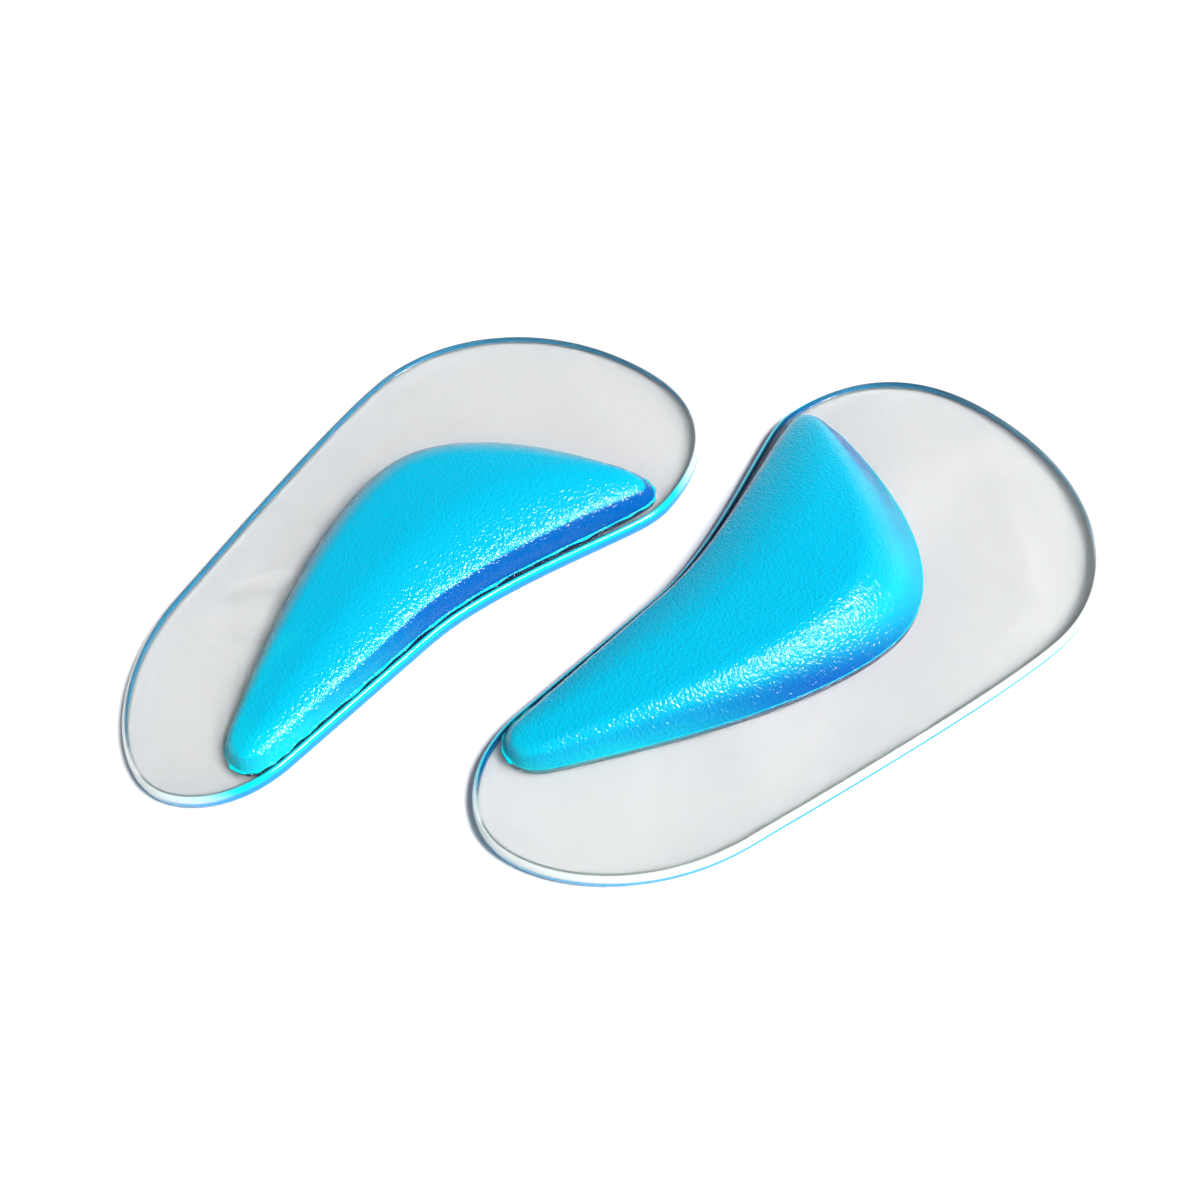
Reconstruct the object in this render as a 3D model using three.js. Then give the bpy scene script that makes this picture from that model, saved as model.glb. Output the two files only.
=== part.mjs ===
// A pair of self-adhesive arch-support insoles, lying sole down on their release films.
// Each insole is a flat clear gel sole with a soft gel dome moulded on it under the arch of the foot.
// Millimetres, +Z up. The toes point along +Y and the right foot's insole is on the +X side.
// The origin is under the middle of the pair, on the surface that the films lie on.

import * as THREE from 'three';

// The sole's outline, drawn for the left foot: +X is the inner side, and y = 0 is half its length.
const soleLength = 130;
const toePeakReach = 6.8;
const ballReach = 35;
const archReach = 22.1;
const heelPeakReach = 5.7;
const outerHeelReach = 25;
const outerForefootReach = 37.8;
const outerSideLean = 12.6;

// Places along the sole, each from the end that it belongs to.
const ballFromToe = 27.5;
const outerForefootFromToe = 35.5;
const archFrontFromHeel = 54;
const archBackFromHeel = 20.3;
const outerHeelFromHeel = 29.7;

// Thicknesses, from the floor up.
const filmThickness = 0.2;
const adhesiveThickness = 0.15;
const soleThickness = 3;
const soleEdgeRadius = 1.2;

// The flat layers' margins to the sole's edge.
const filmOverhang = 0.8;
const adhesiveInset = 2;

// The arch pad's outline. Its inner side follows the sole's edge, with a ledge of bare sole.
const archLedge = 1.8;
const frontLedge = 2.8;
const padOuterReach = 16.8;
const padOuterFromToe = 55.3;
const padFrontWidth = 11.7;
const padFrontPastBall = 2.9;
const padHeelTipFromHeel = 12.8;
const padHeelTipFromInner = 5.3;
const padInnerCornerFromTip = 5.7;
const padHeelShoulderFromTip = 4;
const padHeelTipWidth = 6.2;
const padHeelShoulderLean = 33;

// The dome: steepest on its inner side, with its crest nearer to that side than to the outer one.
const padHeight = 8.6;
const crestShare = 0.58;
const crestPower = 0.75;
const outerFall = 0.08;
const innerFall = 0.55;
const outerWallRun = 14;
const innerWallRun = 1.8;
const frontEase = 1.2;
const wallPower = 2.5;

// How the pair lies.
const pairSpacing = 69.7;
const pairStagger = 33;
const splay = 1.55;

// Facets.
const soleFacets = 84;
const edgeFacets = 3;
const padEdgeSteps = 240;
const padSections = 36;
const sectionSteps = 16;

const toeEnd = soleLength / 2;
const heelEnd = -soleLength / 2;

const clearGel = { color: 0xe9ebea, roughness: 0.18, metalness: 0, transparent: true, opacity: 0.55 };
const blueGel = { color: 0x02c4f2, roughness: 0.3, metalness: 0, transparent: true, opacity: 0.9 };
const adhesive = { color: 0xf2f2ee, roughness: 0.5, metalness: 0, transparent: true, opacity: 0.4 };
const clearFilm = { color: 0xf4f5f6, roughness: 0.12, metalness: 0, transparent: true, opacity: 0.35 };

// A knot of an outline: where it is, the heading of the edge there in degrees from +X,
// and how far the edge keeps to that heading before and after it.
function knot(x, y, heading, before, after) {
  return { at: new THREE.Vector2(x, y), heading: THREE.MathUtils.degToRad(heading), before, after };
}

function alongHeading(from, distance) {
  const step = new THREE.Vector2(Math.cos(from.heading), Math.sin(from.heading));
  return from.at.clone().addScaledVector(step, distance);
}

// Points evenly spaced round a closed outline of knots, counter-clockwise.
function outlinePoints(knots, count) {
  const outline = new THREE.Path();
  outline.moveTo(knots[0].at.x, knots[0].at.y);
  knots.forEach((from, i) => {
    const to = knots[(i + 1) % knots.length];
    const leave = alongHeading(from, from.after);
    const arrive = alongHeading(to, -to.before);
    outline.bezierCurveTo(leave.x, leave.y, arrive.x, arrive.y, to.at.x, to.at.y);
  });
  const points = outline.getSpacedPoints(count).slice(0, count);
  return points.reverse();
}

// The sole's edge, from the toe down the inner side, round the heel and up the outer side.
function soleOutline() {
  const knots = [
    knot(toePeakReach, toeEnd, 0, 27.9, 25.4),
    knot(ballReach, toeEnd - ballFromToe, -90, 6, 6),
    knot(archReach, heelEnd + archFrontFromHeel, -90, 16.9, 8),
    knot(archReach, heelEnd + archBackFromHeel, -90, 8, 14.5),
    knot(heelPeakReach, heelEnd, 180, 6, 11.3),
    knot(-outerHeelReach, heelEnd + outerHeelFromHeel, 90 + outerSideLean, 18.5, 6),
    knot(-outerForefootReach, toeEnd - outerForefootFromToe, 90, 14.1, 17.7),
  ];
  return outlinePoints(knots, soleFacets);
}

// The pad's edge, the same way round, from the front of its inner side.
function padOutline() {
  const innerFront = ballReach - frontLedge;
  const ballPlace = toeEnd - ballFromToe;
  const innerArch = archReach - archLedge;
  const heelTip = heelEnd + padHeelTipFromHeel;
  const heelTipReach = innerArch - padHeelTipFromInner;
  const knots = [
    knot(innerFront, ballPlace, -91, 3.5, 6),
    knot(innerArch, heelEnd + archFrontFromHeel, -90, 16.9, 8),
    knot(innerArch, heelTip + padInnerCornerFromTip, -90, 8, 3.6),
    knot(heelTipReach, heelTip, 180, 3.4, 2.8),
    knot(heelTipReach - padHeelTipWidth, heelTip + padHeelShoulderFromTip, 90 + padHeelShoulderLean, 2.4, 12),
    knot(-padOuterReach, toeEnd - padOuterFromToe, 90, 18.6, 19),
    knot(innerFront - padFrontWidth, ballPlace + padFrontPastBall, 15, 12, 7.5),
  ];
  return outlinePoints(knots, padEdgeSteps);
}

// The outline moved outwards by a distance, or inwards by a negative one.
function offsetOutline(points, distance) {
  return points.map((point, i) => {
    const before = points[(i + points.length - 1) % points.length];
    const after = points[(i + 1) % points.length];
    const along = after.clone().sub(before).normalize();
    return new THREE.Vector2(point.x + along.y * distance, point.y - along.x * distance);
  });
}

function flatLayer(points, bottom, thickness) {
  const layer = new THREE.ExtrudeGeometry(new THREE.Shape(points), { depth: thickness, bevelEnabled: false });
  return layer.translate(0, 0, bottom);
}

// The sole is a slab with both its edges rounded.
function soleSlab(points, bottom) {
  const slab = new THREE.ExtrudeGeometry(new THREE.Shape(points), {
    depth: soleThickness - 2 * soleEdgeRadius,
    bevelThickness: soleEdgeRadius,
    bevelSize: soleEdgeRadius,
    bevelOffset: -soleEdgeRadius,
    bevelSegments: edgeFacets,
  });
  return slab.translate(0, 0, bottom + soleEdgeRadius);
}

// The outline's outer and inner edge on the line across the foot at a place along it.
function edgesAcross(points, y) {
  const crossings = points.flatMap((from, i) => {
    const to = points[(i + 1) % points.length];
    if ((from.y - y) * (to.y - y) > 0 || from.y === to.y) {
      return [];
    }
    return [from.x + (to.x - from.x) * (y - from.y) / (to.y - from.y)];
  });
  return { outer: Math.min(...crossings), inner: Math.max(...crossings) };
}

// Shares from 0 to 1, closer together near both ends.
function easedShare(i, steps) {
  return (1 - Math.cos(Math.PI * i / steps)) / 2;
}

// How high the dome is without its walls, at a share of the way across it from its outer edge: it
// sinks gently from its crest to both sides.
function bodyRise(share) {
  const toOuter = Math.max(1 - share / crestShare, 0);
  const toInner = Math.max((share - crestShare) / (1 - crestShare), 0);
  return 1 - outerFall * toOuter ** 2 - innerFall * toInner ** 2;
}

// How much of that height the dome has at a distance from its edge. It has all of it after the run.
function wallRise(distance, run) {
  return 1 - Math.max(1 - distance / run, 0) ** wallPower;
}

function distanceTo(points, place) {
  const distances = points.map((from, i) => {
    const side = new THREE.Line3(from, points[(i + 1) % points.length]);
    return side.closestPointToPoint(place, true, new THREE.Vector3()).distanceTo(place);
  });
  return Math.min(...distances);
}

// The dome's sections across the foot, from its heel tip to its front. The narrower a section is
// next to the widest one, the lower its crest and the steeper its outer wall, and that wall eases
// towards the front.
function domeSections(points) {
  const places = points.map((point) => point.y);
  const heel = Math.min(...places);
  const front = Math.max(...places);
  const outline = points.map((point) => new THREE.Vector3(point.x, point.y, 0));
  const edges = Array.from({ length: padSections - 1 }, (_, j) => {
    const forward = easedShare(j + 1, padSections);
    const y = THREE.MathUtils.lerp(heel, front, forward);
    return { forward, y, ...edgesAcross(points, y) };
  });
  const widest = Math.max(...edges.map(({ outer, inner }) => inner - outer));
  return edges.map(({ forward, y, outer, inner }) => {
    const fullness = (inner - outer) / widest;
    const crestHeight = padHeight * fullness ** crestPower;
    const outerRun = Math.max(outerWallRun * fullness * (1 + frontEase * forward ** 3), innerWallRun);
    return Array.from({ length: sectionSteps + 1 }, (_, i) => {
      const share = easedShare(i, sectionSteps);
      const place = new THREE.Vector3(THREE.MathUtils.lerp(outer, inner, share), y, 0);
      const run = THREE.MathUtils.lerp(outerRun, innerWallRun, share);
      const wall = i === 0 || i === sectionSteps ? 0 : wallRise(distanceTo(outline, place), run);
      return place.setZ(crestHeight * bodyRise(share) * wall);
    });
  });
}

// The dome is a closed solid: its sections above, a flat underside, and a point at each end.
function archDome(points, bottom) {
  const sections = domeSections(points);
  const tip = (side) => points.reduce((best, point) => (side * point.y > side * best.y ? point : best));
  const heelTip = new THREE.Vector3(tip(-1).x, tip(-1).y, 0);
  const frontTip = new THREE.Vector3(tip(1).x, tip(1).y, 0);
  const count = sectionSteps + 1;
  const last = (sections.length - 1) * count;
  const heelCorner = sections.length * count;
  const frontCorner = heelCorner + 1;
  const faces = [];
  for (let row = 0; row < last; row += count) {
    for (let i = row; i < row + sectionSteps; i += 1) {
      faces.push(i, i + 1, i + count + 1, i, i + count + 1, i + count);
    }
    faces.push(row, row + count, row + count + sectionSteps);
    faces.push(row, row + count + sectionSteps, row + sectionSteps);
  }
  for (let i = 0; i < sectionSteps; i += 1) {
    faces.push(heelCorner, i + 1, i);
    faces.push(frontCorner, last + i, last + i + 1);
  }
  faces.push(heelCorner, 0, sectionSteps);
  faces.push(frontCorner, last + sectionSteps, last);
  const dome = new THREE.BufferGeometry().setFromPoints([...sections.flat(), heelTip, frontTip]);
  dome.setIndex(faces);
  dome.computeVertexNormals();
  return dome.translate(0, 0, bottom);
}

// The same shape for the other foot, with its faces turned back outwards.
function mirrored(geometry) {
  const plain = geometry.index ? geometry.toNonIndexed() : geometry;
  const places = plain.getAttribute('position');
  const other = new THREE.BufferGeometry();
  const points = [];
  for (let i = 0; i < places.count; i += 3) {
    for (const corner of [i, i + 2, i + 1]) {
      points.push(new THREE.Vector3(-places.getX(corner), places.getY(corner), places.getZ(corner)));
    }
  }
  other.setFromPoints(points);
  other.computeVertexNormals();
  return other;
}

// One insole on its film, drawn for the left foot and mirrored for the right.
function insole(side) {
  const edge = soleOutline();
  const soleBottom = filmThickness + adhesiveThickness;
  const pieces = {
    release_film: [flatLayer(offsetOutline(edge, filmOverhang), 0, filmThickness), clearFilm],
    adhesive_layer: [flatLayer(offsetOutline(edge, -adhesiveInset), filmThickness, adhesiveThickness), adhesive],
    gel_sole: [soleSlab(edge, soleBottom), clearGel],
    arch_pad: [archDome(padOutline(), soleBottom + soleThickness), blueGel],
  };
  const group = new THREE.Group();
  for (const [name, [geometry, finish]] of Object.entries(pieces)) {
    const shape = side === 'right' ? mirrored(geometry) : geometry;
    const mesh = new THREE.Mesh(shape, new THREE.MeshStandardMaterial(finish));
    mesh.name = `${side}_${name}`;
    group.add(mesh);
  }
  const sign = side === 'right' ? 1 : -1;
  group.position.set(sign * pairSpacing / 2, sign * pairStagger / 2, 0);
  group.rotation.z = -sign * THREE.MathUtils.degToRad(splay);
  return group;
}

// Both insoles, moved so that the origin is under the middle of the pair.
function insolePair() {
  const feet = new THREE.Group();
  feet.add(insole('left'), insole('right'));
  const middle = new THREE.Box3().setFromObject(feet, true).getCenter(new THREE.Vector3());
  feet.position.set(-middle.x, -middle.y, 0);
  const pair = new THREE.Group();
  pair.add(feet);
  return pair;
}

export default insolePair();
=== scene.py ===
import math

import bpy
import numpy as np
from bpy.props import FloatProperty, FloatVectorProperty, IntProperty, PointerProperty
from mathutils import Matrix, Vector


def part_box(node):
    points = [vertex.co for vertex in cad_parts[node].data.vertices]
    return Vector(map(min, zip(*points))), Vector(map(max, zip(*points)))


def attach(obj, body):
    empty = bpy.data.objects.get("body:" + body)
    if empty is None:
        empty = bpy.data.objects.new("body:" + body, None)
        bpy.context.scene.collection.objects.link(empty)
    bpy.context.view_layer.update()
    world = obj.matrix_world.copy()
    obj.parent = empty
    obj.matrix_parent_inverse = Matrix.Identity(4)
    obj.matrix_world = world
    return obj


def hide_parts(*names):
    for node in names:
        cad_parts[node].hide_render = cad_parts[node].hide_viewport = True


bl_info = {
    "name": "Arch-Support Insole Pair",
    "version": (1, 0, 0),
    "blender": (4, 5, 0),
    "location": "View3D > Sidebar > Insoles",
    "description": "Builds a pair of gel arch-support insoles around their packed frame",
    "category": "Add Mesh",
}

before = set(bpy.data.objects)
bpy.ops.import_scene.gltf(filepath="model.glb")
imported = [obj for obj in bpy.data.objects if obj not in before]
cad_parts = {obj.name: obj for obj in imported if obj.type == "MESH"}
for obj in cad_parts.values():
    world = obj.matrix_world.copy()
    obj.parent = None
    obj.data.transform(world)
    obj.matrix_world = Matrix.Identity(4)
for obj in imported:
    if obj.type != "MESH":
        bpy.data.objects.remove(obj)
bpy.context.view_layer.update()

FEET = ("left", "right")
MM = 0.001


# Outlines, taken from the frame ---------------------------------------------------------------


def node_points(node):
    """The vertices of a frame node, as rows of x, y, z."""
    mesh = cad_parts[node].data
    points = np.zeros(len(mesh.vertices) * 3)
    mesh.vertices.foreach_get("co", points)
    return points.reshape(-1, 3)


def outline_at(node, height):
    """The node's outline at its level nearest to a height, counter-clockwise."""
    same_level = 0.01 * MM
    points = node_points(node)
    level = points[np.abs(points[:, 2] - height).argmin(), 2]
    ring = points[np.abs(points[:, 2] - level) < same_level, :2]
    ring = np.unique(ring.round(7), axis=0)
    centre = (ring.min(axis=0) + ring.max(axis=0)) / 2
    turn = np.arctan2(ring[:, 1] - centre[1], ring[:, 0] - centre[0])
    return ring[np.argsort(turn)]


def smooth_closed(points, count):
    """Evenly spaced points on the smooth closed curve through an outline's points.

    Each span between two points is a cubic that leaves and arrives along the directions that its
    neighbours give, each weighted by the other's length.
    """
    steps_per_span = 12
    share = np.linspace(0, 1, steps_per_span, endpoint=False)[:, None]
    before, after = np.roll(points, 1, axis=0), np.roll(points, -1, axis=0)
    beyond = np.roll(points, -2, axis=0)
    reach = np.linalg.norm(after - points, axis=1)
    reach_before, reach_after = np.roll(reach, 1), np.roll(reach, -1)
    spans = []
    for p0, p1, p2, p3, r0, r1, r2 in zip(before, points, after, beyond, reach_before, reach, reach_after):
        leave = (r1 * (p1 - p0) / r0 + r0 * (p2 - p1) / r1) / (r0 + r1) * r1
        arrive = (r2 * (p2 - p1) / r1 + r1 * (p3 - p2) / r2) / (r1 + r2) * r1
        s2, s3 = share**2, share**3
        spans.append(
            (2 * s3 - 3 * s2 + 1) * p1
            + (s3 - 2 * s2 + share) * leave
            + (3 * s2 - 2 * s3) * p2
            + (s3 - s2) * arrive
        )
    dense = np.vstack(spans)
    lengths = np.linalg.norm(np.roll(dense, -1, axis=0) - dense, axis=1)
    along = np.concatenate([[0], np.cumsum(lengths)])
    wanted = np.linspace(0, along[-1], count, endpoint=False)
    closed = np.vstack([dense, dense[:1]])
    return np.column_stack([np.interp(wanted, along, closed[:, axis]) for axis in (0, 1)])


def offset_outline(points, distance):
    """The outline moved outwards by a distance, or inwards by a negative one."""
    along = np.roll(points, -1, axis=0) - np.roll(points, 1, axis=0)
    along /= np.linalg.norm(along, axis=1)[:, None]
    return points + distance * np.column_stack([along[:, 1], -along[:, 0]])


def edges_across(points, places):
    """The outline's lowest and highest x on the line across it at each y of places."""
    tips = points[:, 1].argmin(), points[:, 1].argmax()
    rolled = np.roll(points, -tips[0], axis=0)
    top = (tips[1] - tips[0]) % len(points)
    one = rolled[: top + 1]
    other = np.vstack([rolled[top:], rolled[:1]])[::-1]
    first = np.interp(places, one[:, 1], one[:, 0])
    second = np.interp(places, other[:, 1], other[:, 0])
    return np.minimum(first, second), np.maximum(first, second)


# Meshes ---------------------------------------------------------------------------------------


def add_piece(name, points, faces, material):
    """A mesh object in the scene, smooth-shaded but for its flat faces of many corners."""
    many = 5
    mesh = bpy.data.meshes.new(name)
    mesh.from_pydata([tuple(point) for point in points], [], faces)
    mesh.update()
    mesh.polygons.foreach_set("use_smooth", [len(face) < many for face in faces])
    mesh.materials.append(material)
    piece = bpy.data.objects.new(name, mesh)
    bpy.context.scene.collection.objects.link(piece)
    return piece


def ringed_solid(rings):
    """Points and faces of a closed solid through rings of as many points each, from the lowest up."""
    count = len(rings[0])
    faces = []
    for low in range(0, (len(rings) - 1) * count, count):
        for i in range(count):
            following = (i + 1) % count
            faces.append((low + i, low + following, low + count + following, low + count + i))
    top = (len(rings) - 1) * count
    faces.append(tuple(range(count))[::-1])
    faces.append(tuple(range(top, top + count)))
    return np.vstack(rings), faces


def at_height(outline, height):
    """The outline as points of x, y, z, all at one height."""
    return np.column_stack([outline, np.full(len(outline), height)])


# Shader expressions ---------------------------------------------------------------------------


class Wire:
    """A node's output that takes part in Python expressions: each operator adds its Math node."""

    def __init__(self, finish, socket):
        self.finish = finish
        self.socket = socket

    def _math(self, operation, first, second):
        return self.finish.node("ShaderNodeMath", {"operation": operation}, {0: first, 1: second})

    def __add__(self, other):
        return self._math("ADD", self, other)

    __radd__ = __add__

    def __sub__(self, other):
        return self._math("SUBTRACT", self, other)

    def __rsub__(self, other):
        return self._math("SUBTRACT", other, self)

    def __mul__(self, other):
        return self._math("MULTIPLY", self, other)

    __rmul__ = __mul__


class Finish:
    """A material's or world's nodes while they are being written."""

    def __init__(self, name, owners=None):
        owners = bpy.data.materials if owners is None else owners
        self.owner = owners.new(name)
        self.owner.use_nodes = True
        self.tree = self.owner.node_tree
        self.tree.nodes.clear()

    def node(self, kind, settings, inputs, output=0):
        """Adds a node: its settings first, then its sockets' values or links. Returns one output."""
        node = self.tree.nodes.new(kind)
        for setting, value in settings.items():
            setattr(node, setting, value)
        for socket, value in inputs.items():
            if isinstance(value, Wire):
                self.tree.links.new(value.socket, node.inputs[socket])
            else:
                node.inputs[socket].default_value = value
        return Wire(self, node.outputs[output]) if len(node.outputs) else None

    def place(self):
        """The point on the piece, in metres in the row frame."""
        return self.node("ShaderNodeTexCoord", {}, {}, "Object")

    def height_of(self, vector):
        """A vector's Z: a place's height, or how far a direction points up."""
        return self.node("ShaderNodeSeparateXYZ", {}, {"Vector": vector}, "Z")

    def upright(self):
        """The Z of the surface's direction: 1 facing up, 0 on an upright wall, -1 facing down."""
        return self.height_of(self.node("ShaderNodeNewGeometry", {}, {}, "Normal"))

    def attribute(self, name):
        """A number that the mesh holds at each of its points."""
        return self.node("ShaderNodeAttribute", {"attribute_name": name}, {}, "Fac")

    def noise(self, size, detail=2.0, roughness=0.5, place=None):
        """Noise from 0 to 1 with features of a size in metres."""
        inputs = {
            "Vector": place or self.place(),
            "Scale": 1 / size,
            "Detail": detail,
            "Roughness": roughness,
        }
        return self.node("ShaderNodeTexNoise", {}, inputs, "Fac")

    def ramp(self, value, low, high):
        """0 below low, 1 above high, and smooth between them."""
        inputs = {"Value": value, "From Min": low, "From Max": high}
        return self.node("ShaderNodeMapRange", {"interpolation_type": "SMOOTHSTEP"}, inputs, "Result")

    def mix(self, share, first, second):
        """The first colour where the share is 0, the second where it is 1."""
        factor, colour_a, colour_b = 0, 6, 7
        colour_result = 2
        inputs = {factor: share, colour_a: first, colour_b: second}
        return self.node("ShaderNodeMix", {"data_type": "RGBA"}, inputs, colour_result)

    def bump(self, height, depth):
        """A normal for a height from 0 to 1 that stands for a depth in metres."""
        return self.node("ShaderNodeBump", {}, {"Height": height, "Distance": depth, "Strength": 1.0})

    def principled(self, inputs):
        """A Principled surface with these values or links on its sockets."""
        return self.node("ShaderNodeBsdfPrincipled", {}, inputs)

    def absorption(self, colour, density):
        """A volume that lets a colour through, with its density per metre."""
        return self.node("ShaderNodeVolumeAbsorption", {}, {"Color": rgba(colour), "Density": density})

    def output(self, surface, volume=None):
        """Ends the material with its surface, and with its volume if it has one. Returns the material."""
        inputs = {"Surface": surface}
        if volume is not None:
            inputs["Volume"] = volume
        self.node("ShaderNodeOutputMaterial", {}, inputs)
        return self.owner


def rgba(colour):
    """An opaque colour with its fourth channel."""
    return (*colour, 1.0)


def clear_gel_finish(finish):
    """Water-clear moulded gel with a faint mottle and ripple. Its rounded edges carry painted light: a pale
    painted sheen, painted blue glow at the rim's foot and next to the pad, and a painted cyan glow on the
    upper edge next to the pad.
    """
    made = Finish("soft_clear_gel")
    mottle = made.noise(finish.mottle_size, detail=3.0)
    skin = made.noise(finish.skin_size)
    ripple = made.noise(finish.ripple_size, detail=1.0)
    clear = made.principled({
        "Base Color": made.mix(mottle, rgba(finish.clear_light), rgba(finish.clear_shade)),
        "Roughness": finish.clear_roughness * (1 + mottle),
        "IOR": finish.gel_ior,
        "Transmission Weight": 1.0,
        "Normal": made.bump(finish.skin_share * skin + ripple, finish.ripple_depth),
    })

    upright = made.upright()
    # rounding marks the rounded edges, where painted sheen and painted glow take the place of part of the
    # clear gel.
    leaning, flat = 0.8, 0.998
    rounding = 1 - made.ramp(upright * upright, leaning, flat)
    # The painted glow is blue light painted into the rim, fading with the distance from the pad.
    no_glow, full_glow = 0.1, 0.6
    painted_glow = made.ramp(made.attribute("painted_pad_glow"), no_glow, full_glow)
    height = made.height_of(made.place())
    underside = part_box("left_gel_sole")[0].z
    foot_top, foot_fade = underside + 1.6 * MM, 0.5 * MM
    foot_band = rounding * (1 - made.ramp(height, foot_top, foot_top + foot_fade))
    side_top, side_fade = underside + 2.0 * MM, 0.6 * MM
    side_band = 1 - made.ramp(height, side_top, side_top + side_fade)
    # Next to the pad: a painted cyan glow on the upper edge and a painted deep blue glow below it. Far from
    # it: the painted sheen above a painted blue glow at the foot.
    painted_near_rim = made.mix(side_band, rgba(finish.painted_ledge_glow_colour), rgba(finish.painted_near_glow_colour))
    painted_far_rim = made.mix(foot_band, rgba(finish.painted_sheen_colour), rgba(finish.painted_rim_glow_colour))
    painted_rim_light = made.principled({
        "Base Color": made.mix(painted_glow, painted_far_rim, painted_near_rim),
        "Roughness": finish.rim_roughness,
        "IOR": finish.gel_ior,
        "Specular IOR Level": 0.3,
    })

    # How much of the rounded edges the painted light covers; it replaces that share of the clear gel.
    painted_far_share = rounding * finish.painted_sheen_share + foot_band * (finish.painted_rim_glow_share - finish.painted_sheen_share)
    painted_rim_share = painted_far_share * (1 - painted_glow) + rounding * finish.painted_near_glow_share * painted_glow
    surface = made.node("ShaderNodeMixShader", {}, {0: painted_rim_share, 1: clear, 2: painted_rim_light})
    return made.output(surface, made.absorption(finish.clear_depth_colour, finish.clear_depth_density))


def blue_gel_finish(finish):
    """Blue gel: paler where it is thin, with painted shade on its steep walls that is lighter at the heel, a
    satin skin and a fine grain.
    """
    made = Finish("soft_blue_gel")
    place = made.place()
    along_foot = made.node("ShaderNodeMapping", {}, {"Vector": place, "Scale": (1.6, 0.6, 1.0)})
    swirl = made.noise(finish.swirl_size, place=along_foot)
    grain = made.noise(finish.grain_size, detail=1.0)

    sole_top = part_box("left_gel_sole")[1].z
    thin, thick = sole_top - 1 * MM, sole_top + 5 * MM
    depth = made.ramp(made.height_of(place) + finish.swirl_depth * (swirl - 0.5), thin, thick)
    body = made.mix(depth, rgba(finish.blue_thin), rgba(finish.blue_thick))

    # Painted shade on the steep walls: full from the wall slope, fading out at the shoulder slope, lighter
    # on the heel's walls and full from the middle forwards.
    steep = 1 - made.ramp(made.upright(), math.cos(finish.wall_slope), math.cos(finish.shoulder_slope))
    full_shade = made.ramp(made.attribute("forward"), finish.wall_shade_start, finish.wall_shade_end)
    painted_wall_shade = steep * (finish.heel_wall_shade + (1 - finish.heel_wall_shade) * full_shade)

    surface = made.principled({
        "Base Color": made.mix(painted_wall_shade, body, rgba(finish.painted_wall_shade_colour)),
        "Roughness": finish.blue_roughness + finish.blue_roughness_change * swirl,
        "IOR": finish.gel_ior,
        "Transmission Weight": finish.blue_clarity,
        "Specular IOR Level": 0.2,
        "Normal": made.bump(grain, finish.grain_depth),
    })
    return made.output(surface, made.absorption(finish.blue_depth_colour, finish.blue_depth_density))


def adhesive_finish(finish):
    """A thin tacky coat: almost invisible, with a faint milky mottle where it holds air."""
    made = Finish("adhesive_coat")
    mottle = made.noise(finish.coat_mottle_size, detail=4.0, roughness=0.6)
    milky_from, milky_to = 0.45, 0.75
    surface = made.principled({
        "Base Color": rgba(finish.adhesive_colour),
        "Roughness": 0.4 + 0.2 * mottle,
        "Alpha": finish.coat_veil + finish.coat_milk * made.ramp(mottle, milky_from, milky_to),
    })
    return made.output(surface)


def film_finish(finish):
    """Thin clear film: a pale grey veil with a gloss, a little cloudier in places."""
    made = Finish("clear_film")
    cloud = made.noise(finish.cloud_size)
    surface = made.principled({
        "Base Color": rgba(finish.film_colour),
        "Roughness": 0.12 + 0.1 * cloud,
        "Alpha": finish.film_veil * (0.8 + 0.4 * cloud),
    })
    return made.output(surface)


def material_for(name, write, finish):
    """The material of that name, written the first time it is asked for."""
    return bpy.data.materials.get(name) or write(finish)


# Settings -------------------------------------------------------------------------------------


def size(name, description, default, low=0.0, high=0.2):
    """A length in metres."""
    return FloatProperty(
        name=name, description=description, default=default, min=low, max=high, unit="LENGTH", precision=5
    )


def fraction(name, description, default):
    """A number from 0 to 1."""
    return FloatProperty(
        name=name, description=description, default=default, min=0.0, max=1.0, subtype="FACTOR"
    )


def number(name, description, default):
    """A number that is 0 or more."""
    return FloatProperty(name=name, description=description, default=default, min=0.0)


def angle(name, description, degrees):
    """An angle, with its default in degrees."""
    return FloatProperty(name=name, description=description, default=math.radians(degrees), unit="ROTATION")


def whole(name, description, default, low):
    """A whole number with its lowest value."""
    return IntProperty(name=name, description=description, default=default, min=low)


def tint(name, description, default):
    """A colour."""
    return FloatVectorProperty(
        name=name, description=description, default=default, size=3, min=0.0, max=1.0, subtype="COLOR"
    )


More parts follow.
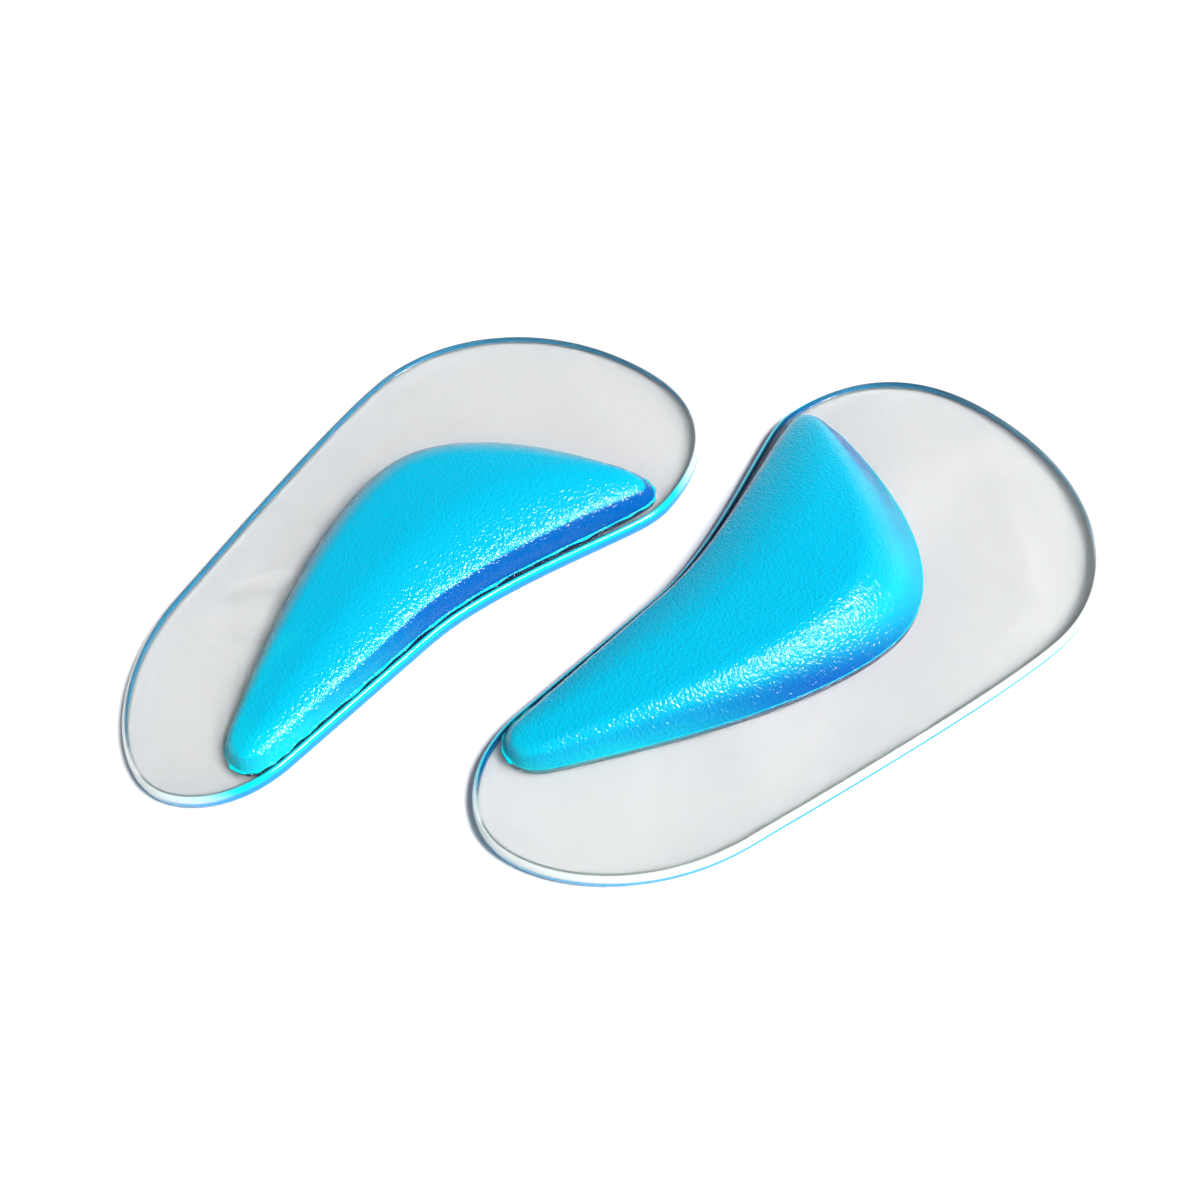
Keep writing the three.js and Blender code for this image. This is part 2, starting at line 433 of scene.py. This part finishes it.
class InsoleShape(bpy.types.PropertyGroup):
    """The shape of the soles' edges and of the domes."""

    edge_radius: size("Edge radius", "Rounding of the sole's upper and lower edge", 1.2 * MM)
    edge_steps: whole("Edge steps", "Facets round each edge", 8, 2)
    outline_steps: whole("Outline steps", "Points round an outline", 360, 48)
    bond_depth: size("Bond depth", "How far the pad reaches into the sole it is moulded in", 2.2 * MM)
    dome_height: size("Dome height", "Height of the dome over its lip", 8.5 * MM)
    crest_share: fraction("Crest place", "The dome's crest, from the outer edge to the inner one", 0.58)
    crest_power: number("Crest power", "How fast the crest falls as the pad narrows", 0.75)
    outer_fall: fraction("Outer fall", "How far the dome sinks from its crest to its outer wall", 0.08)
    inner_fall: fraction("Inner fall", "How far the dome sinks from its crest to its inner wall", 0.6)
    outer_run: size("Outer wall run", "How far the outer wall takes to rise at the widest place", 14 * MM)
    inner_run: size("Inner wall run", "How far the inner wall takes to rise", 1.8 * MM)
    front_ease: number("Front ease", "How much longer the outer wall's run is at the front", 0.6)
    wall_power: number("Wall power", "Higher is steeper at the foot", 2.5)
    lip_width: size("Lip width", "Width of the moulded lip round the pad's foot", 0.4 * MM)
    lip_height: size("Lip height", "Height of the moulded lip round the pad's foot", 0.15 * MM)
    lip_outer_share: fraction("Outer lip", "Width of the lip on the outer side, of the inner side's", 0.3)
    dome_sections: whole("Dome sections", "Sections across the dome", 150, 12)
    section_steps: whole("Section steps", "Points across a section", 72, 8)


class InsoleFinish(bpy.types.PropertyGroup):
    """The colours and skins of the gels, the adhesive and the film, with the light painted on the clear
    gel's rims and the shade painted on the blue gel's walls.
    """

    gel_ior: number("Gel IOR", "How strongly both gels bend light", 1.5)

    clear_light: tint("Clear gel", "Light part of the clear gel's mottle", (1.0, 1.0, 1.0))
    clear_shade: tint("Clear gel shade", "Dark part of the clear gel's mottle", (0.99, 0.992, 0.99))
    clear_roughness: fraction("Clear gel roughness", "Least roughness of the clear gel's skin", 0.02)
    clear_depth_colour: tint("Clear gel depth", "What thick clear gel lets through", (0.8, 0.84, 0.83))
    clear_depth_density: number("Clear gel density", "Absorption per metre", 4.0)
    mottle_size: size("Mottle size", "Size of the clear gel's mottle", 9 * MM)
    ripple_size: size("Ripple size", "Size of the clear gel's ripples", 6 * MM)
    ripple_depth: size("Ripple depth", "Depth of the clear gel's ripples", 0.03 * MM)
    skin_size: size("Skin size", "Size of the clear gel's fine skin texture", 0.35 * MM)
    skin_share: fraction("Skin share", "Depth of the fine skin texture, of the ripples'", 0.15)

    # A pale painted sheen on the rounded edges far from the pad, and how much of them it covers.
    painted_sheen_colour: tint("Rim haze", "Light that the rounded edges scatter far from the pad", (0.8, 0.86, 0.87))
    painted_sheen_share: fraction("Rim haze share", "How much of the rounded edges is haze", 0.6)
    # Painted blue glow in the rim far from and next to the pad, the painted cyan glow on the upper edge next
    # to it, and their shares.
    painted_rim_glow_colour: tint("Rim", "Blue light that the sole's rim gathers far from the pad", (0.0, 0.4, 0.76))
    painted_rim_glow_share: fraction("Rim blue", "How much of the rim's foot is blue far from the pad", 0.7)
    painted_near_glow_colour: tint("Rim near the pad", "Blue light in the rim next to the pad", (0.0, 0.24, 0.66))
    painted_ledge_glow_colour: tint("Ledge", "Light in the sole's upper edge next to the pad", (0.0, 0.72, 0.95))
    painted_near_glow_share: fraction("Rim blue near the pad", "How much of the rim is blue next to the pad", 0.95)
    rim_roughness: fraction("Rim roughness", "Roughness of the rim's skin", 0.15)
    # How far from the pad the painted glow reaches.
    painted_glow_reach: size("Glow reach", "How far from the pad its blue still shows in the rim", 7 * MM)

    blue_thin: tint("Thin blue gel", "Colour of the blue gel where it is thin", (0.0, 0.79, 0.84))
    blue_thick: tint("Thick blue gel", "Colour of the blue gel where it is thick", (0.0, 0.49, 0.74))
    # Painted shade on the blue gel's steep walls, the slopes where it starts and is full, and where along
    # the pad it is lighter or full.
    painted_wall_shade_colour: tint("Blue gel wall", "Colour of the blue gel's steep walls", (0.0, 0.12, 0.46))
    wall_slope: angle("Wall slope", "Slope from which a wall has its full depth of colour", 53)
    shoulder_slope: angle("Shoulder slope", "Slope at which a wall starts to deepen", 41)
    heel_wall_shade: fraction("Heel wall depth", "How much of their deep colour the heel's walls have", 0.3)
    wall_shade_start: fraction("Deepening start", "Where the walls start to deepen, from heel to front", 0.1)
    wall_shade_end: fraction("Deepening end", "Where the walls are at their deepest, from heel to front", 0.5)
    blue_roughness: fraction("Blue gel roughness", "Least roughness of the blue gel's skin", 0.12)
    blue_roughness_change: fraction("Roughness change", "How much rougher its swirls make it", 0.08)
    blue_clarity: fraction("Blue gel clarity", "How much of the light goes straight through", 0.3)
    swirl_size: size("Swirl size", "Size of the blue gel's swirls", 16 * MM)
    swirl_depth: size("Swirl depth", "How much thicker or thinner the swirls make the gel look", 7 * MM)
    grain_size: size("Grain size", "Size of the skin's grains", 0.55 * MM)
    grain_depth: size("Grain depth", "Depth of the skin's grains", 0.22 * MM)
    blue_depth_colour: tint("Blue gel depth", "What thick blue gel lets through", (0.0, 0.947, 0.99))
    blue_depth_density: number("Blue gel density", "Absorption per metre", 300.0)

    adhesive_colour: tint("Adhesive", "Colour of the tacky coat", (0.86, 0.87, 0.86))
    coat_veil: fraction("Coat veil", "How much of what is under the coat it veils", 0.003)
    coat_milk: fraction("Coat milk", "How much more it veils where it is milky", 0.012)
    coat_mottle_size: size("Coat mottle size", "Size of the coat's milky places", 4 * MM)
    film_colour: tint("Release film", "Colour of the clear film's veil", (0.72, 0.72, 0.76))
    film_veil: fraction("Film veil", "How much of what is under the film it veils", 0.012)
    cloud_size: size("Cloud size", "Size of the film's cloudy places", 12 * MM)


class InsoleStudio(bpy.types.PropertyGroup):
    """The floor, the lights and the camera."""

    azimuth: angle("Azimuth", "Camera direction", 53.69)
    elevation: angle("Elevation", "Camera height", 51.49)
    roll: angle("Roll", "Camera roll", -11.01)
    distance: size("Distance", "Camera to the point it looks at", 267.6 * MM, 0.1, 2.0)
    aim_right: size("Aim to the right", "Point looked at, towards the right foot", 3.6 * MM)
    aim_forward: size("Aim forward", "Point looked at, towards the toes", 0.2 * MM)
    lens: number("Lens", "Focal length in millimetres", 43.33)
    floor_colour: tint("Floor", "Colour of the pale floor", (0.9, 0.9, 0.9))
    floor_width: size("Floor width", "Side of the square floor", 6.0, 1.0, 20.0)
    room_light: number("Room light", "Strength of the even light all round", 0.12)
    horizon_light: number("Horizon light", "Strength of the walls' light near the horizon", 0.4)
    key_power: number("Key light", "Softbox over the pair, in watts", 80.0)
    key_height: angle("Key height", "Elevation of the softbox", 50)
    key_azimuth: angle("Key azimuth", "Azimuth of the softbox", 104)
    key_width: size("Key width", "Side of the square softbox", 0.6, 0.1, 3.0)
    key_distance: size("Key distance", "Softbox to the pair", 2.0, 0.5, 10.0)


# Pieces ---------------------------------------------------------------------------------------


def slab_rings(outline, bottom, top, radius, steps):
    """Rings of a slab with both its edges rounded, from its underside up."""
    rings = []
    for turn in np.linspace(0, math.pi / 2, steps + 1):
        inset, rise = radius * (1 - math.sin(turn)), radius * (1 - math.cos(turn))
        rings.append(at_height(offset_outline(outline, -inset), bottom + rise))
    upper_rings = []
    for ring in reversed(rings):
        upper = ring.copy()
        upper[:, 2] = top + bottom - ring[:, 2]
        upper_rings.append(upper)
    return rings + upper_rings


def hold_at_points(piece, name, values):
    """Keeps a number for each point of a piece, for its material to use."""
    attribute = piece.data.attributes.new(name, "FLOAT", "POINT")
    attribute.data.foreach_set("value", values)


class INSOLE_OT_gel_soles(bpy.types.Operator):
    """Builds both clear gel soles: flat slabs with rounded edges."""

    bl_idname = "insole.gel_soles"
    bl_label = "Gel Soles"

    def execute(self, context):
        shape, finish = context.scene.insole_shape, context.scene.insole_finish
        for foot in FEET:
            node, pad_node = f"{foot}_gel_sole", f"{foot}_arch_pad"
            low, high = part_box(node)
            outline = smooth_closed(outline_at(node, (low.z + high.z) / 2), shape.outline_steps)
            rings = slab_rings(outline, low.z, high.z, shape.edge_radius, shape.edge_steps)
            points, faces = ringed_solid(rings)
            material = material_for("soft_clear_gel", clear_gel_finish, finish)
            sole = add_piece(f"{foot}_sole", points, faces, material)
            pad_outline = outline_at(pad_node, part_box(pad_node)[0].z)
            to_pad = distances_to(pad_outline, points[:, :2])
            # Distance to the pad, for the painted glow in the rim.
            hold_at_points(sole, "painted_pad_glow", np.exp(-to_pad / finish.painted_glow_reach))
            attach(sole, f"{foot}_insole")
            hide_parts(node)
        return {"FINISHED"}


def eased_shares(steps):
    """Shares from 0 to 1, closer together near both ends."""
    return (1 - np.cos(np.linspace(0, math.pi, steps + 1))) / 2


def distances_to(outline, points):
    """The distance from each of the points to the outline's nearest side."""
    sides = np.roll(outline, -1, axis=0) - outline
    lengths = (sides**2).sum(axis=1)
    away = points[:, None, :] - outline[None, :, :]
    along = np.clip((away * sides).sum(axis=2) / lengths, 0, 1)
    return np.linalg.norm(away - along[:, :, None] * sides, axis=2).min(axis=1)


def body_rise(share, shape):
    """The dome's gentle rise across a section, without its walls; share is 0 at its outer edge."""
    crest = shape.crest_share
    outer = shape.outer_fall * np.clip(1 - share / crest, 0, 1) ** 2
    inner = shape.inner_fall * np.clip((share - crest) / (1 - crest), 0, 1) ** 2
    return 1 - outer - inner


def wall_rise(distance, run, shape):
    """How much of its body's height the dome has at a distance from its edge: all of it after the run."""
    return 1 - np.clip(1 - distance / run, 0, 1) ** shape.wall_power


def dome_surface(outline, foot, shape):
    """Points of the dome's sections over its outline, as an array of sections by steps by x, y, z."""
    heel, front = outline[:, 1].min(), outline[:, 1].max()
    forward = eased_shares(shape.dome_sections)[1:-1]
    places = heel + (front - heel) * forward
    low, high = edges_across(outline, places)
    outer, inner = (low, high) if foot == "left" else (high, low)
    fullness = np.abs(inner - outer) / np.abs(inner - outer).max()
    shares = eased_shares(shape.section_steps)
    sections = np.empty((len(places), len(shares), 3))
    for row, y in enumerate(places):
        x = outer[row] + (inner[row] - outer[row]) * shares
        outer_run = shape.outer_run * fullness[row] * (1 + shape.front_ease * forward[row] ** 3)
        run = shape.inner_run + np.maximum(outer_run - shape.inner_run, 0) * (1 - shares)
        distance = distances_to(outline, np.column_stack([x, np.full(len(x), y)]))
        crest = shape.dome_height * fullness[row] ** shape.crest_power
        sections[row, :, 0] = x
        sections[row, :, 1] = y
        sections[row, :, 2] = crest * body_rise(shares, shape) * wall_rise(distance, run, shape)
    return sections


def loop_outward(points):
    """Unit outward directions at the points of a counter-clockwise loop."""
    ahead = np.roll(points, -1, axis=0) - points
    ahead /= np.linalg.norm(ahead, axis=1)[:, None]
    along = ahead + np.roll(ahead, 1, axis=0)
    along /= np.linalg.norm(along, axis=1)[:, None]
    return np.column_stack([along[:, 1], -along[:, 0]])


def ragged_edge(count):
    """How wide an uneven moulding lip is at each of so many points round it, about 1 on average."""
    turns = np.linspace(0, 2 * math.pi, count, endpoint=False)[:, None]
    patches = 0.4 * np.sin(19 * turns) * np.sin(7 * turns + 1)
    nicks = 0.3 * np.sin(43 * turns)
    return 1 + patches + nicks


def closed_dome(sections, tips, bottom, shape, clockwise):
    """Points and faces of the dome: its sections, a low lip round them, and a flat underside in the sole.

    clockwise says that the edge from the heel along the inner side runs clockwise, seen from above.
    """
    rows, count = sections.shape[:2]
    lip_top = bottom + shape.lip_height
    top = sections.reshape(-1, 3) + (0, 0, lip_top)
    heel, front = [np.array([*tip, lip_top]) for tip in tips]
    points = [*top, heel, front]
    heel_corner, front_corner = rows * count, rows * count + 1
    faces = []
    for row in range(0, (rows - 1) * count, count):
        for i in range(row, row + count - 1):
            faces.append((i, i + 1, i + count + 1, i + count))
    last = (rows - 1) * count
    for i in range(count - 1):
        faces.append((heel_corner, i + 1, i))
        faces.append((front_corner, last + i, last + i + 1))

    inner_edge = [row * count + count - 1 for row in range(rows)]
    outer_edge = [row * count for row in range(rows)]
    edge = [heel_corner, *inner_edge, front_corner, *outer_edge[::-1]]
    loop = np.array([points[i][:2] for i in edge])
    outward = loop_outward(loop) * (-1 if clockwise else 1)
    on_inner_side = np.arange(len(loop))[:, None] <= rows
    widths = shape.lip_width * np.where(on_inner_side, ragged_edge(len(loop)), shape.lip_outer_share)

    # The lip's profile as shares of its width and height, and below it the root in the sole.
    lip_profile = [(0.6, 1.0), (0.85, 0.9), (0.97, 0.6), (1.0, 0.0)]
    root = (0.0, -shape.bond_depth / shape.lip_height)
    for reach, rise in [*lip_profile, root]:
        ring = at_height(loop + reach * widths * outward, bottom + rise * shape.lip_height)
        lower = list(range(len(points), len(points) + len(ring)))
        points += list(ring)
        for i in range(len(edge)):
            following = (i + 1) % len(edge)
            faces.append((lower[i], lower[following], edge[following], edge[i]))
        edge = lower
    faces.append(tuple(edge[::-1]))
    return np.array(points), faces


class INSOLE_OT_arch_pads(bpy.types.Operator):
    """Builds both blue gel domes, moulded onto their soles."""

    bl_idname = "insole.arch_pads"
    bl_label = "Arch Pads"

    def execute(self, context):
        shape, finish = context.scene.insole_shape, context.scene.insole_finish
        for foot in FEET:
            node = f"{foot}_arch_pad"
            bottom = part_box(node)[0].z
            foot_line = smooth_closed(outline_at(node, bottom), shape.outline_steps)
            sections = dome_surface(foot_line, foot, shape)
            tips = foot_line[foot_line[:, 1].argmin()], foot_line[foot_line[:, 1].argmax()]
            points, faces = closed_dome(sections, tips, bottom, shape, foot == "right")
            if foot == "right":
                faces = [face[::-1] for face in faces]
            material = material_for("soft_blue_gel", blue_gel_finish, finish)
            pad = add_piece(f"{foot}_pad", points, faces, material)
            heel, front = points[:, 1].min(), points[:, 1].max()
            hold_at_points(pad, "forward", (points[:, 1] - heel) / (front - heel))
            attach(pad, f"{foot}_insole")
            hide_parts(node)
        return {"FINISHED"}


def flat_layer(name, node, body, material, steps):
    """A thin flat layer over a frame node's outline, in place of that node."""
    low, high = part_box(node)
    outline = smooth_closed(outline_at(node, low.z), steps)
    points, faces = ringed_solid([at_height(outline, low.z), at_height(outline, high.z)])
    layer = add_piece(name, points, faces, material)
    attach(layer, body)
    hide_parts(node)


class INSOLE_OT_backings(bpy.types.Operator):
    """Builds the adhesive layers and the release films under the soles."""

    bl_idname = "insole.backings"
    bl_label = "Adhesive and Films"

    def execute(self, context):
        shape, finish = context.scene.insole_shape, context.scene.insole_finish
        coat = adhesive_finish(finish)
        film = film_finish(finish)
        steps = shape.outline_steps
        for foot in FEET:
            coat_node, film_node = f"{foot}_adhesive_layer", f"{foot}_release_film"
            flat_layer(f"{foot}_adhesive", coat_node, f"{foot}_insole", coat, steps)
            flat_layer(f"{foot}_film", film_node, "release_films", film, steps)
        return {"FINISHED"}


# Studio ---------------------------------------------------------------------------------------


def look_at(place, target):
    """The turn that points an object's -Z from a place to a target."""
    return (Vector(target) - Vector(place)).to_track_quat("-Z", "Y").to_matrix().to_4x4()


def add_softbox(name, place, target, width, power):
    """A square area light at a place, facing a target."""
    light = bpy.data.lights.new(name, "AREA")
    light.shape = "SQUARE"
    light.size = width
    light.energy = power
    lamp = bpy.data.objects.new(name, light)
    lamp.matrix_world = Matrix.Translation(place) @ look_at(place, target)
    bpy.context.scene.collection.objects.link(lamp)


def towards(azimuth, elevation):
    """The direction from the pair to something at that azimuth and elevation."""
    return Vector((
        math.sin(azimuth) * math.cos(elevation),
        -math.cos(azimuth) * math.cos(elevation),
        math.sin(elevation),
    ))


def add_floor(studio):
    """A pale matt floor with a very faint fleck, a hair under the films."""
    floor = Finish("studio_floor")
    fleck = floor.noise(30 * MM)
    shade = tuple(0.985 * part for part in studio.floor_colour)
    surface = floor.principled({
        "Base Color": floor.mix(fleck, rgba(studio.floor_colour), rgba(shade)),
        "Roughness": 0.9,
        "Specular IOR Level": 0.1,
    })
    half = studio.floor_width / 2
    level = -0.02 * MM
    corners = [(-half, -half, level), (half, -half, level), (half, half, level), (-half, half, level)]
    plane = add_piece("studio_floor", corners, [(0, 1, 2, 3)], floor.output(surface))


def light_room(scene, studio):
    """Even light all round, brighter on the walls near the horizon, and one softbox."""
    room = Finish("studio", bpy.data.worlds)
    rise = room.height_of(room.node("ShaderNodeTexCoord", {}, {}, "Generated"))
    full_below, none_above = 0.25, 0.6
    near_horizon = 1 - room.ramp(rise, full_below, none_above)
    strength = studio.room_light + studio.horizon_light * near_horizon
    white = (1.0, 1.0, 1.0)
    sky = room.node("ShaderNodeBackground", {}, {"Color": rgba(white), "Strength": strength})
    room.node("ShaderNodeOutputWorld", {}, {"Surface": sky})
    scene.world = room.owner
    place = towards(studio.key_azimuth, studio.key_height) * studio.key_distance
    add_softbox("key_softbox", place, (0, 0, 0), studio.key_width, studio.key_power)


def add_camera(scene, studio):
    """The camera, facing a point at the soles' underside and rolled a little."""
    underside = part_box("left_gel_sole")[0].z
    target = Vector((studio.aim_right, studio.aim_forward, underside))
    place = target + towards(studio.azimuth, studio.elevation) * studio.distance
    camera = bpy.data.cameras.new("camera")
    camera.lens = studio.lens
    camera.clip_start = 0.01
    viewer = bpy.data.objects.new("camera", camera)
    roll = Matrix.Rotation(studio.roll, 4, "Z")
    viewer.matrix_world = Matrix.Translation(place) @ look_at(place, target) @ roll
    scene.collection.objects.link(viewer)
    scene.camera = viewer


def let_light_through(scene):
    """Enough bounces for light to cross both gels, the coat and the film, with its colours kept plain."""
    scene.view_settings.view_transform = "Standard"
    scene.cycles.max_bounces = 20
    scene.cycles.transmission_bounces = 20
    scene.cycles.glossy_bounces = 16
    scene.cycles.transparent_max_bounces = 24
    scene.cycles.sample_clamp_indirect = 60


class INSOLE_OT_studio(bpy.types.Operator):
    """Makes the pale floor, the soft lights and the camera."""

    bl_idname = "insole.studio"
    bl_label = "Studio"

    def execute(self, context):
        scene, studio = context.scene, context.scene.insole_studio
        add_floor(studio)
        light_room(scene, studio)
        add_camera(scene, studio)
        let_light_through(scene)
        return {"FINISHED"}


class INSOLE_PT_panel(bpy.types.Panel):
    """Lists the pieces and their settings in the sidebar."""

    bl_label = "Arch-Support Insoles"
    bl_idname = "INSOLE_PT_panel"
    bl_space_type = "VIEW_3D"
    bl_region_type = "UI"
    bl_category = "Insoles"

    def draw(self, context):
        for operator in PIECES:
            self.layout.operator(operator.bl_idname)
        for name, group in SETTINGS.items():
            for setting in group.__annotations__:
                self.layout.prop(getattr(context.scene, name), setting)


PIECES = (INSOLE_OT_studio, INSOLE_OT_backings, INSOLE_OT_gel_soles, INSOLE_OT_arch_pads)
SETTINGS = {"insole_shape": InsoleShape, "insole_finish": InsoleFinish, "insole_studio": InsoleStudio}


def register():
    """Registers the classes and adds the settings to the scene."""
    for group in SETTINGS.values():
        bpy.utils.register_class(group)
    for name, group in SETTINGS.items():
        setattr(bpy.types.Scene, name, PointerProperty(type=group))
    for operator in PIECES:
        bpy.utils.register_class(operator)
    bpy.utils.register_class(INSOLE_PT_panel)


def unregister():
    """Undoes what register did, in the opposite order."""
    bpy.utils.unregister_class(INSOLE_PT_panel)
    for operator in reversed(PIECES):
        bpy.utils.unregister_class(operator)
    for name in SETTINGS:
        delattr(bpy.types.Scene, name)
    for group in reversed(SETTINGS.values()):
        bpy.utils.unregister_class(group)


def main():
    """Builds the stage and every piece."""
    register()
    bpy.ops.insole.studio()
    bpy.ops.insole.backings()
    bpy.ops.insole.gel_soles()
    bpy.ops.insole.arch_pads()


if __name__ == "__main__":
    main()
